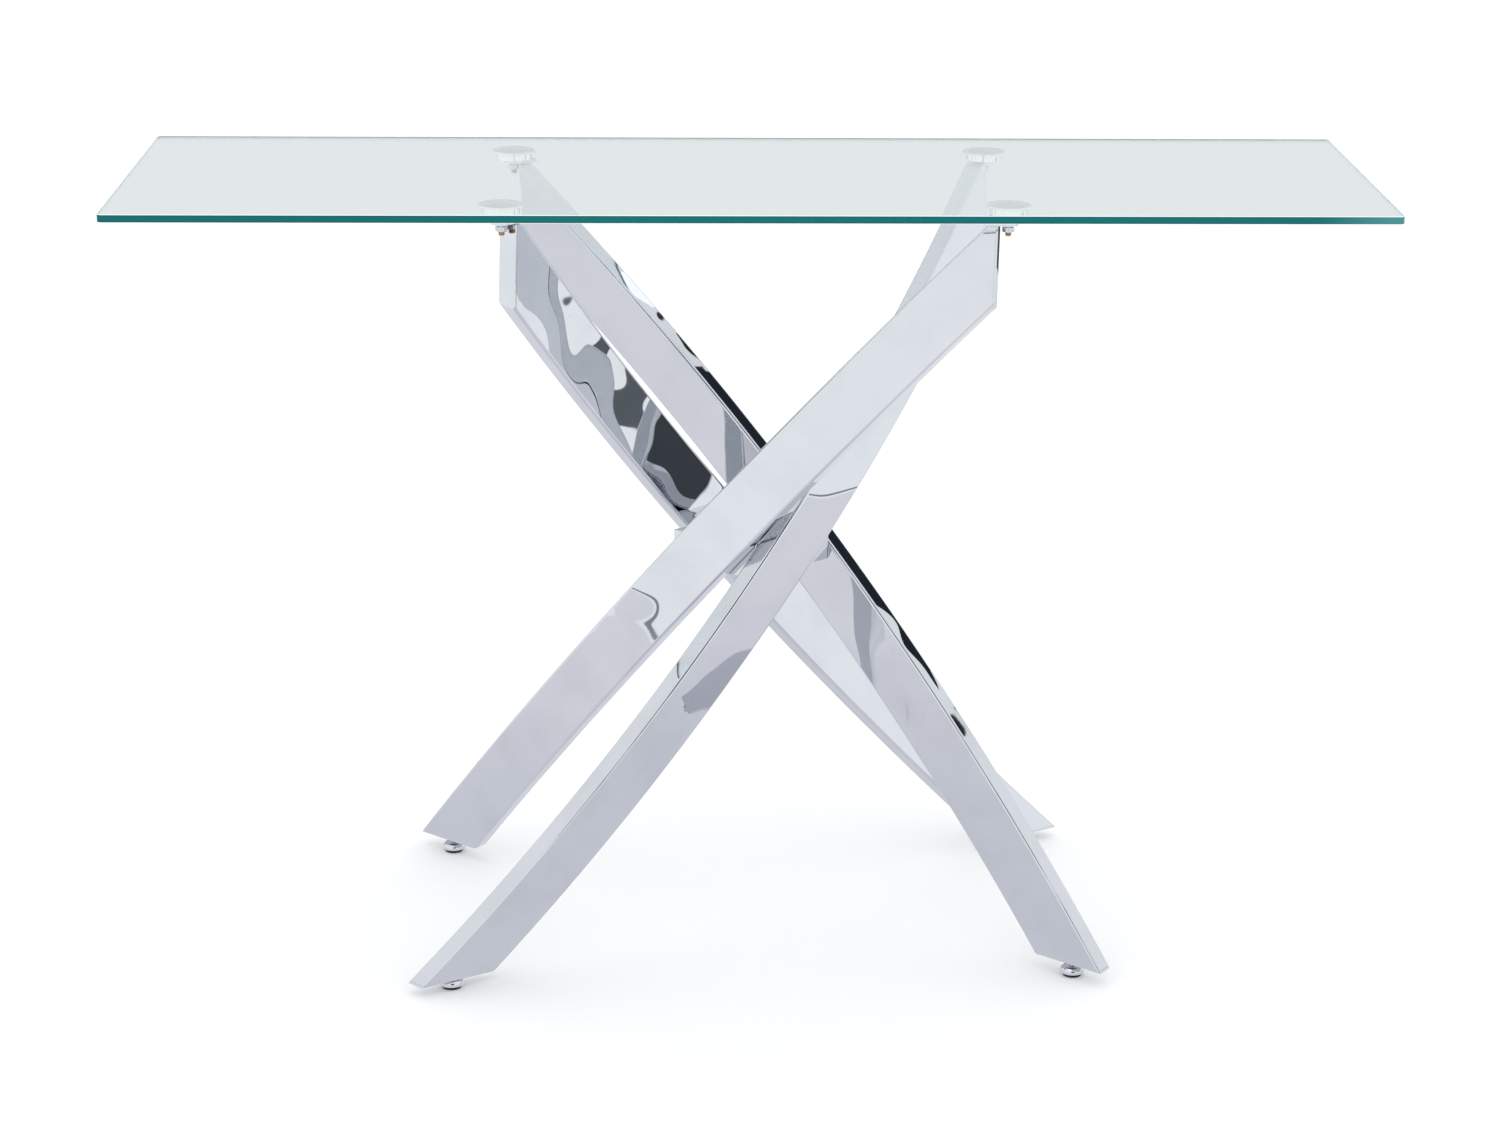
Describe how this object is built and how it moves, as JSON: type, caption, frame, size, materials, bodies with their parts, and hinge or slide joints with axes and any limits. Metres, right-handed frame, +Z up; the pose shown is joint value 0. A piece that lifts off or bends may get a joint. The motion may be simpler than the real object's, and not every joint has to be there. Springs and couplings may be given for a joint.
{
  "type": "console table",
  "caption": "Narrow hall table: a clear glass top on chromed flat-tube legs that bow in, cross over each other and meet at a small hub, with screw feet.",
  "frame": {"origin": "on the floor under the middle of the glass top, at the middle of the bounding box's base", "axes": "+X along the length, towards the right seen from the front; +Y to the back; +Z up"},
  "size_m": [1.2, 0.4258, 0.77],
  "materials": {
    "glass": "polished float glass with a ground and polished blue-green edge",
    "chrome": "bright chrome plate",
    "chrome_foot": "bright chrome plate, spun cup",
    "satin": "satin turned metal",
    "zinc": "bright zinc plate",
    "yellow_zinc": "yellow passivated zinc",
    "bare_steel": "plain machined steel",
    "black_plastic": "moulded black plastic"
  },
  "bodies": {
    "table": {"glass_top": "glass", "hub": "chrome", "leg_tube_front_left": "chrome", "end_cap_front_left": "chrome", "lug_front_left": "chrome", "foot_plate_front_left": "chrome", "glass_pad_front_left": "satin", "pad_stud_front_left": "yellow_zinc", "washer_front_left": "zinc", "pad_nut_front_left": "zinc", "weld_nut_front_left": "bare_steel", "nut_plate_front_left": "bare_steel", "hub_screw_front_left_upper": "zinc", "hub_screw_front_left_lower": "zinc", "leg_tube_front_right": "chrome", "end_cap_front_right": "chrome", "lug_front_right": "chrome", "foot_plate_front_right": "chrome", "glass_pad_front_right": "satin", "pad_stud_front_right": "yellow_zinc", "washer_front_right": "zinc", "pad_nut_front_right": "zinc", "weld_nut_front_right": "bare_steel", "nut_plate_front_right": "bare_steel", "hub_screw_front_right_upper": "zinc", "hub_screw_front_right_lower": "zinc", "leg_tube_rear_left": "chrome", "end_cap_rear_left": "chrome", "lug_rear_left": "chrome", "foot_plate_rear_left": "chrome", "glass_pad_rear_left": "satin", "pad_stud_rear_left": "yellow_zinc", "washer_rear_left": "zinc", "pad_nut_rear_left": "zinc", "weld_nut_rear_left": "bare_steel", "nut_plate_rear_left": "bare_steel", "hub_screw_rear_left_upper": "zinc", "hub_screw_rear_left_lower": "zinc", "leg_tube_rear_right": "chrome", "end_cap_rear_right": "chrome", "lug_rear_right": "chrome", "foot_plate_rear_right": "chrome", "glass_pad_rear_right": "satin", "pad_stud_rear_right": "yellow_zinc", "washer_rear_right": "zinc", "pad_nut_rear_right": "zinc", "weld_nut_rear_right": "bare_steel", "nut_plate_rear_right": "bare_steel", "hub_screw_rear_right_upper": "zinc", "hub_screw_rear_right_lower": "zinc"},
    "foot_front_left": {"foot_cup_front_left": "chrome_foot", "foot_pad_front_left": "black_plastic"},
    "foot_front_right": {"foot_cup_front_right": "chrome_foot", "foot_pad_front_right": "black_plastic"},
    "foot_rear_left": {"foot_cup_rear_left": "chrome_foot", "foot_pad_rear_left": "black_plastic"},
    "foot_rear_right": {"foot_cup_rear_right": "chrome_foot", "foot_pad_rear_right": "black_plastic"}
  },
  "joints": [
    {"name": "level_front_left", "type": "slide", "parent": "table", "child": "foot_front_left", "axis": [0, 0, -1], "range_m": [0, 0.008]},
    {"name": "level_front_right", "type": "slide", "parent": "table", "child": "foot_front_right", "axis": [0, 0, -1], "range_m": [-0.0042, 0.006]},
    {"name": "level_rear_left", "type": "slide", "parent": "table", "child": "foot_rear_left", "axis": [0, 0, -1], "range_m": [-0.0042, 0.006]},
    {"name": "level_rear_right", "type": "slide", "parent": "table", "child": "foot_rear_right", "axis": [0, 0, -1], "range_m": [0, 0.008]}
  ]
}
